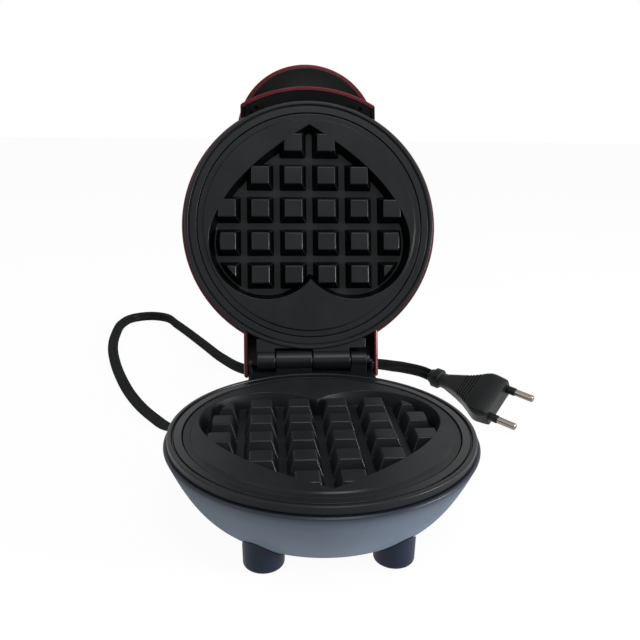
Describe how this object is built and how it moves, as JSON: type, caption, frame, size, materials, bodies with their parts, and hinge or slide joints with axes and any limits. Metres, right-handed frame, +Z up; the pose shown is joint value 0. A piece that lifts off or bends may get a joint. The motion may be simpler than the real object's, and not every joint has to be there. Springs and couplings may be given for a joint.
{
  "type": "mini waffle maker",
  "caption": "Round countertop waffle maker with heart-shaped studded plates, a hinged lid held open, a lid handle, short feet and a mains lead with a round-pin plug.",
  "frame": {"origin": "centre of the footprint of the open appliance, its lead left out, on the surface it stands on", "axes": "+X right as seen from the front, +Y towards the hinge at the back, +Z up"},
  "size_m": [0.2525, 0.347, 0.1823],
  "materials": {
    "bowl": "gloss",
    "lid_cover": "gloss",
    "black_plastic": "satin",
    "non_stick_casting": "matte",
    "foot_plastic": "satin",
    "rubber": "matte",
    "steel": "satin",
    "sheet_aluminium": "satin",
    "insulator": "matte",
    "pin_metal": "polished",
    "lens": "gloss",
    "lead_sleeve": "matte",
    "cord_sheath": "satin"
  },
  "bodies": {
    "base": {"base_shell": "bowl", "base_bezel": "black_plastic", "lower_plate": "non_stick_casting", "lower_heating_element": "steel", "lower_reflector": "steel", "thermostat": "insulator", "thermal_fuse": "pin_metal", "base_screw_1": "steel", "base_screw_2": "steel", "base_screw_3": "steel", "foot_front_left": "foot_plastic", "foot_pad_front_left": "rubber", "foot_screw_front_left": "steel", "foot_front_right": "foot_plastic", "foot_pad_front_right": "rubber", "foot_screw_front_right": "steel", "foot_rear_left": "foot_plastic", "foot_pad_rear_left": "rubber", "foot_screw_rear_left": "steel", "foot_rear_right": "foot_plastic", "foot_pad_rear_right": "rubber", "foot_screw_rear_right": "steel", "strain_relief": "rubber", "cord_clamp": "black_plastic", "live_lead": "lead_sleeve", "neutral_lead": "lead_sleeve", "bridge_lead": "lead_sleeve", "hinge_pin": "steel", "plug_body": "cord_sheath", "plug_pin_left": "pin_metal", "plug_pin_right": "pin_metal", "plug_sleeve_left": "cord_sheath", "plug_sleeve_right": "cord_sheath", "power_cord": "cord_sheath"},
    "lid": {"lid_shell": "lid_cover", "lid_liner": "black_plastic", "handle_grip": "black_plastic", "upper_plate": "non_stick_casting", "upper_heating_element": "steel", "upper_reflector": "sheet_aluminium", "indicator_lens": "lens", "indicator_lamp": "insulator", "upper_plate_screw_1": "steel", "upper_plate_screw_2": "steel", "upper_plate_screw_3": "steel", "lid_screw_1": "steel", "lid_screw_2": "steel"}
  },
  "joints": [
    {"name": "lid_hinge", "type": "hinge", "parent": "base", "child": "lid", "pos_m": [0, 0.03252, 0.0407], "axis": [1, 0, 0], "range_deg": [0, 107.3]}
  ]
}
